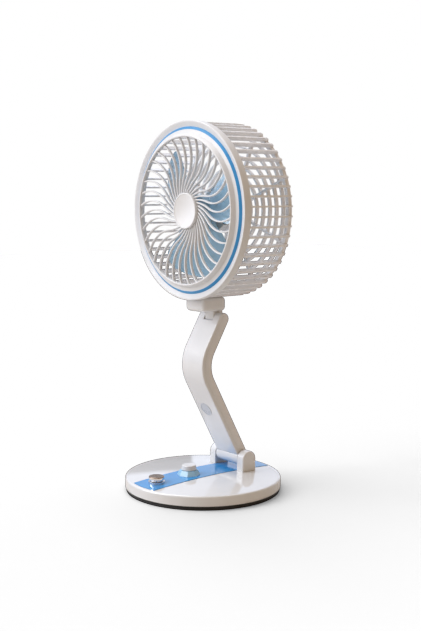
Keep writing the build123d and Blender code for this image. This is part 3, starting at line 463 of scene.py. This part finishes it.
# Grille bars, hub and cap, in millimetres and degrees
BAR_COUNT = 36
BAR_FIRST = 2.5
BAR_WIDTH = 1.3
BAR_DEPTH = 2.6
BAR_SETBACK = 0.2
BAR_DISH = 3.2
BAR_OVERLAP = 0.6
BAR_ROOT = 25.0
BAR_BEND_RADIUS = 29.0
BAR_BEND = 2.6
BAR_SLOPE = -28.0
BAR_TIP = 4.2
BAR_ROOT_STEPS = 8
BAR_TIP_STEPS = 12
HUB_RADIUS = 15.0
HUB_DISC = 1.8
HUB_BORE = 4.1
CAP_RIM = 1.5
CAP_LIP = 3.1
CAP_SIDE = 2.7
CAP_DISH = 2.6

grille_low, grille_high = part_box("front_grille")
HEAD_X = (grille_low.x + grille_high.x) / 2 / MM
HEAD_Z = (grille_low.z + grille_high.z) / 2 / MM
HEAD_RADIUS = (grille_high.x - grille_low.x) / 2 / MM
RIM_Y = grille_high.y / MM - SKIRT_DEPTH
OPENING = HEAD_RADIUS - BEZEL_WIDTH
BARS_REAR = BAR_SETBACK + BAR_DEPTH
HUB_FRONT = BARS_REAR - HUB_DISC


def in_head(radius, turn, depth):
    """A place in the head, its turn counted from +X towards +Z."""
    return Vector((HEAD_X + radius * cos(turn), RIM_Y + depth, HEAD_Z + radius * sin(turn))) * MM


def bezel_step():
    """The two ends of the sloped step that carries the blue band."""
    foot = Vector((HEAD_RADIUS - GROOVE_INSET, GROOVE_DEPTH))
    return foot, foot - Vector((BAND_RUN, BAND_RISE))


def bezel():
    """The skirt, the funnel-shaped rim, the groove, the ledge and the raised bead round the opening."""
    foot, top = bezel_step()
    skirt_inner = HEAD_RADIUS - SKIRT_WALL
    seat = HEAD_RADIUS - RING_SEAT
    outline = [
        (HEAD_RADIUS, SKIRT_DEPTH),
        (HEAD_RADIUS, 0.0),
        (HEAD_RADIUS - RIM_WIDTH, 0.0),
        tuple(foot),
        tuple(top),
        (top.x - LEDGE_RUN, top.y - LEDGE_RISE),
        (OPENING + BEAD_WIDTH, -BEAD_RISE),
        (OPENING, -BEAD_RISE),
        (OPENING, BARS_REAR - BAR_DISH),
        (top.x - LEDGE_RUN, top.y - LEDGE_RISE + BACK_WALL),
        (top.x, top.y + BACK_WALL),
        (seat, GROOVE_DEPTH + BACK_WALL),
        (seat, RING_FRONT),
        (skirt_inner, RING_FRONT),
        (skirt_inner, SKIRT_DEPTH),
    ]
    return lathe(rounded(outline, EDGE_RADIUS), in_head)


def blue_band():
    """The blue band that is let into the step, a little proud of it."""
    foot, top = bezel_step()
    out = Vector((BAND_RISE, -BAND_RUN)).normalized()
    front = [foot + out * BAND_PROUD, top + out * BAND_PROUD]
    back = [top - out * BAND_DEPTH, foot - out * BAND_DEPTH]
    outline = [tuple(point) for point in front + back]
    return lathe(rounded(outline, BAND_PROUD), in_head)


def arc(start, end, normal, count):
    """Points from start to end on the arc that is square to the normal at its start."""
    span = end - start
    radius = abs(span) ** 2 / (2 * (span * normal.conjugate()).real)
    centre = start + normal * radius
    sweep = phase((end - centre) / (start - centre))
    return [centre + (start - centre) * rect(1, sweep * k / count) for k in range(count + 1)]


def grille_bar(turn):
    """One S-shaped bar: a short arc at the hub and a longer one at the bezel, where it comes forward."""
    bend = rect(BAR_BEND_RADIUS, radians(BAR_BEND))
    normal = rect(1, radians(BAR_SLOPE) + pi / 2)
    inner = arc(bend, rect(HUB_RADIUS, radians(BAR_ROOT)), normal, BAR_ROOT_STEPS)
    outer = arc(bend, rect(OPENING + BAR_OVERLAP, radians(BAR_TIP)), normal, BAR_TIP_STEPS)
    path = inner[:0:-1] + outer
    half = BAR_WIDTH / 2
    corners = [(-half, BAR_SETBACK), (half, BAR_SETBACK), (half, BARS_REAR), (-half, BARS_REAR)]
    section = rounded(corners, EDGE_RADIUS)
    points = []
    for k, place in enumerate(path):
        along = path[min(k + 1, len(path) - 1)] - path[max(k - 1, 0)]
        side = along / abs(along) * 1j
        rise = BAR_DISH * (abs(place) - HUB_RADIUS) / (OPENING - HUB_RADIUS)
        for across, depth in section:
            spot = place + side * across
            points.append(in_head(abs(spot), phase(spot) + turn, depth - rise))
    faces = loop_faces(len(path), len(section), False)
    last = len(points) - len(section)
    faces += [list(range(len(section))), list(range(last, len(points)))]
    return points, faces


def hub_disc():
    """The disc behind the cap that the bars grow from."""
    rim = HUB_RADIUS + BAR_OVERLAP
    outline = [(HUB_BORE, HUB_FRONT), (rim, HUB_FRONT), (rim, BARS_REAR), (HUB_BORE, BARS_REAR)]
    return lathe(rounded(outline, EDGE_RADIUS), in_head)


def hub_dish():
    """The smooth cap in the middle: a shallow dish inside a rolled rim."""
    inner = HUB_RADIUS - CAP_RIM
    crest = HUB_FRONT - CAP_LIP
    steps = [k / ROUND_STEPS for k in range(ROUND_STEPS + 1)]
    dish = [(inner * t, HUB_FRONT - CAP_SIDE + CAP_DISH * (1 - t**2)) for t in steps]
    dish += [(inner, HUB_FRONT), (0.0, HUB_FRONT)]
    rim = [(inner, HUB_FRONT), (inner, crest), (HUB_RADIUS, crest), (HUB_RADIUS, HUB_FRONT)]
    return [lathe(dish, in_head), lathe(rounded(rim, CAP_RIM / 2), in_head)]


bars = [grille_bar(radians(BAR_FIRST + 360 * k / BAR_COUNT)) for k in range(BAR_COUNT)]
add_piece("bezel", [bezel()], "front_grille", "head")
add_piece("grille_bars", bars + [hub_disc()], "front_grille", "head")
add_piece("blue_band", [blue_band()], "accent_ring", "head")
add_piece("hub_dish", hub_dish(), "hub_cap", "head")

# Round mark on the arm's front, in millimetres and degrees
MARK_RADIUS = 6.4
MARK_RIM = 0.7
MARK_PROUD = 0.3
MARK_CROWN = 0.24
MARK_SHOULDER = 0.21
MARK_EDGE = 0.09
MARK_SHIFT = Vector((-2.0, 0.0, 0.0))
MARK_DROP = 1.3
ARM_LEAN = 28.4


def arm_front_place():
    """The middle of the lens's front face, with the ways out of that face and up the arm."""
    lean = radians(ARM_LEAN)
    out = Vector((0.0, -cos(lean), -sin(lean)))
    spots = [vertex.co for vertex in nodes["indicator_lens"].data.vertices]
    front = max(spot.dot(out) for spot in spots)
    face = [spot for spot in spots if front - spot.dot(out) < MERGE_DISTANCE]
    return sum(face, Vector()) / len(face), out, Vector((0.0, -sin(lean), cos(lean)))


arm_middle, arm_out, arm_up = arm_front_place()


def on_arm(radius, turn, height):
    """A place round the mark's middle, at a height above the arm's front."""
    across = Vector((cos(turn), 0.0, 0.0)) + arm_up * sin(turn)
    return arm_middle + (MARK_SHIFT - arm_up * MARK_DROP + across * radius + arm_out * height) * MM


def arm_mark():
    """A shallow lens inside a fine raised rim."""
    inner = MARK_RADIUS - MARK_RIM
    crown = [(0.0, MARK_CROWN), (inner / 2, MARK_SHOULDER), (inner, MARK_EDGE)]
    rim = [(inner, MARK_PROUD), (MARK_RADIUS, MARK_PROUD), (MARK_RADIUS, -MARK_PROUD), (0.0, -MARK_PROUD)]
    return lathe(crown + rim, on_arm)


add_piece("arm_mark", [arm_mark()], "indicator_lens", "arm")

# Neck between the arm and the head, in millimetres
NECK_DROP = 6.9
NECK_HEIGHT = 12.4
NECK_REACH = 21.5
NECK_BACK = 3.7
NECK_HALF_WIDTH = 12.7
NECK_ROUNDING = 3.8
TONGUE_RADIUS = 5.0
TONGUE_HALF_WIDTH = 5.7
TONGUE_ROUNDING = 0.5
TONGUE_EDGE_STEPS = 2


def round_edges(work, edges, radius, steps):
    """Rounds some edges of a mesh in the making."""
    bmesh.ops.bevel(work, geom=edges, offset=radius, segments=steps, profile=0.5, affect="EDGES")


def shell_of(work):
    """The points and faces of a mesh in the making, which is then put away."""
    work.verts.index_update()
    points = [vertex.co * MM for vertex in work.verts]
    faces = [[vertex.index for vertex in face.verts] for face in work.faces]
    work.free()
    return points, faces


def rounded_block(low, high, radius):
    """A block between two corners with all its edges rounded."""
    work = bmesh.new()
    bmesh.ops.create_cube(work, size=1.0)
    for vertex in work.verts:
        vertex.co = [(a + b) / 2 + c * (b - a) for a, b, c in zip(low, high, vertex.co)]
    round_edges(work, work.edges[:], radius, ROUND_STEPS)
    return shell_of(work)


def tongue(y, z):
    """The flat tongue that hangs from the neck and is rounded about the tilt pin."""
    steps = 2 * ROUND_STEPS
    turns = [pi + pi * k / steps for k in range(steps + 1)]
    outline = [(y + TONGUE_RADIUS * cos(t), z + TONGUE_RADIUS * sin(t)) for t in turns]
    top = z + NECK_DROP + NECK_ROUNDING
    outline += [(y + TONGUE_RADIUS, top), (y - TONGUE_RADIUS, top)]
    work = bmesh.new()
    face = work.faces.new([work.verts.new((-TONGUE_HALF_WIDTH, *spot)) for spot in outline])
    grown = bmesh.ops.extrude_face_region(work, geom=[face])["geom"]
    for part in grown:
        if isinstance(part, bmesh.types.BMVert):
            part.co.x = TONGUE_HALF_WIDTH
    rims = [edge for edge in work.edges if edge.verts[0].co.x == edge.verts[1].co.x]
    round_edges(work, rims, TONGUE_ROUNDING, TONGUE_EDGE_STEPS)
    return shell_of(work)


def neck():
    """The rounded block under the cage and its tongue, about the tilt pin."""
    pin_low, pin_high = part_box("tilt_pin")
    y = (pin_low.y + pin_high.y) / 2 / MM
    z = (pin_low.z + pin_high.z) / 2 / MM
    low = (-NECK_HALF_WIDTH, y - NECK_REACH, z + NECK_DROP)
    high = (NECK_HALF_WIDTH, y + NECK_BACK, z + NECK_DROP + NECK_HEIGHT)
    return [rounded_block(low, high, NECK_ROUNDING), tongue(y, z)]


add_piece("neck", neck(), "neck_block", "head")

# Floor and lamps, in metres and watts
FLOOR_REACH = 3.0
LAMP_SIZE = 1.6
KEY_COLOUR = (0.96, 0.98, 1.0)
TOP_COLOUR = (0.98, 0.99, 1.0)


def add_floor():
    """A plain pale floor that takes the fan's soft shadow."""
    mesh = bpy.data.meshes.new("floor")
    signs = ((-1, -1), (1, -1), (1, 1), (-1, 1))
    corners = [(x * FLOOR_REACH, y * FLOOR_REACH, 0.0) for x, y in signs]
    mesh.from_pydata(corners, [], [(0, 1, 2, 3)])
    mesh.materials.append(moulded("floor_paper", FLOOR_PALE, (0.7, 0.8)))
    floor = bpy.data.objects.new("floor", mesh)
    scene.collection.objects.link(floor)
    floor.is_shadow_catcher = True


def add_lamp(name, place, target, power, colour):
    """A large square lamp that is turned to a target."""
    data = bpy.data.lights.new(name, "AREA")
    data.shape = "SQUARE"
    data.size = LAMP_SIZE
    data.energy = power
    data.color = colour
    lamp = bpy.data.objects.new(name, data)
    lamp.location = place
    lamp.rotation_euler = facing(Vector(target) - Vector(place))
    scene.collection.objects.link(lamp)


# Surroundings: colours of light, and the sines of angles where they change.
# A grey screen stands low behind the fan, to the left.
COOL_SIDE = (0.78, 0.82, 0.93)
WARM_SIDE = (0.42, 0.285, 0.145)
SIDE_CHANGE = (-0.15, 0.55)
BACK_TURN = 50.1
BACK_CHANGE = (0.0, 0.05)
SCREEN_GREY = (0.20, 0.19, 0.19)
SCREEN_EDGE = (-0.032, -0.036)
SCREEN_END = (-0.8, -0.7)
SCREEN_TOP = (0.27, 0.24)
BACKDROP_WHITE = (1.0, 1.0, 1.0, 1.0)


class Studio(NodeTree):
    """The surroundings: cool light from the left, dim warm light from the right, and a white backdrop."""

    def __init__(self):
        world = bpy.data.worlds.new("studio")
        world.use_nodes = True
        scene.world = world
        super().__init__(world.node_tree)
        self.way = self.add("ShaderNodeTexCoord").outputs["Generated"]

    def share(self, value, change):
        """How far a value is through a change, from 0 to 1."""
        return self.spread(value, WHOLE_RANGE, change)

    def mix(self, share, first, second):
        """One colour that turns into another as a share grows."""
        node = self.add("ShaderNodeMix")
        node.data_type = "RGBA"
        self.link(share, node.inputs["Factor"])
        sockets = [socket for socket in node.inputs if socket.type == "RGBA"]
        for socket, colour in zip(sockets, (first, second)):
            if isinstance(colour, tuple):
                socket.default_value = (*colour, 1.0)
            else:
                self.link(colour, socket)
        return next(socket for socket in node.outputs if socket.type == "RGBA")

    def screen(self):
        """1 where the grey screen stands, and 0 elsewhere."""
        turned = self.add("ShaderNodeMapping", Rotation=(0.0, 0.0, radians(-BACK_TURN)))
        self.link(self.way, turned.inputs["Vector"])
        back = self.parts(turned.outputs["Vector"])
        covered = self.share(back["X"], SCREEN_EDGE)
        for axis, change in (("X", SCREEN_END), ("Z", SCREEN_TOP), ("Y", BACK_CHANGE)):
            covered = self.math("MULTIPLY", covered, self.share(back[axis], change))
        return covered

    def light(self):
        """Lights the scene with the surroundings. The camera itself sees the backdrop."""
        side = self.share(self.parts(self.way)["X"], SIDE_CHANGE)
        colour = self.mix(self.screen(), self.mix(side, COOL_SIDE, WARM_SIDE), SCREEN_GREY)
        around = self.tree.nodes["Background"]
        set_sockets(around, {"Strength": 1.0})
        self.link(colour, around.inputs["Color"])
        backdrop = self.add("ShaderNodeBackground", Color=BACKDROP_WHITE, Strength=1.0)
        either = self.add("ShaderNodeMixShader")
        self.link(self.add("ShaderNodeLightPath").outputs["Is Camera Ray"], either.inputs["Fac"])
        self.link(around.outputs["Background"], either.inputs[1])
        self.link(backdrop.outputs["Background"], either.inputs[2])
        self.link(either.outputs["Shader"], self.tree.nodes["World Output"].inputs["Surface"])


add_floor()
Studio().light()
add_lamp("key", place=(-1.1, -1.7, 1.4), target=(0.0, 0.0, 0.16), power=34.0, colour=KEY_COLOUR)
add_lamp("top", place=(-0.6, 0.0, 2.0), target=(0.0, 0.0, 0.1), power=24.0, colour=TOP_COLOUR)
scene.view_settings.view_transform = "Standard"
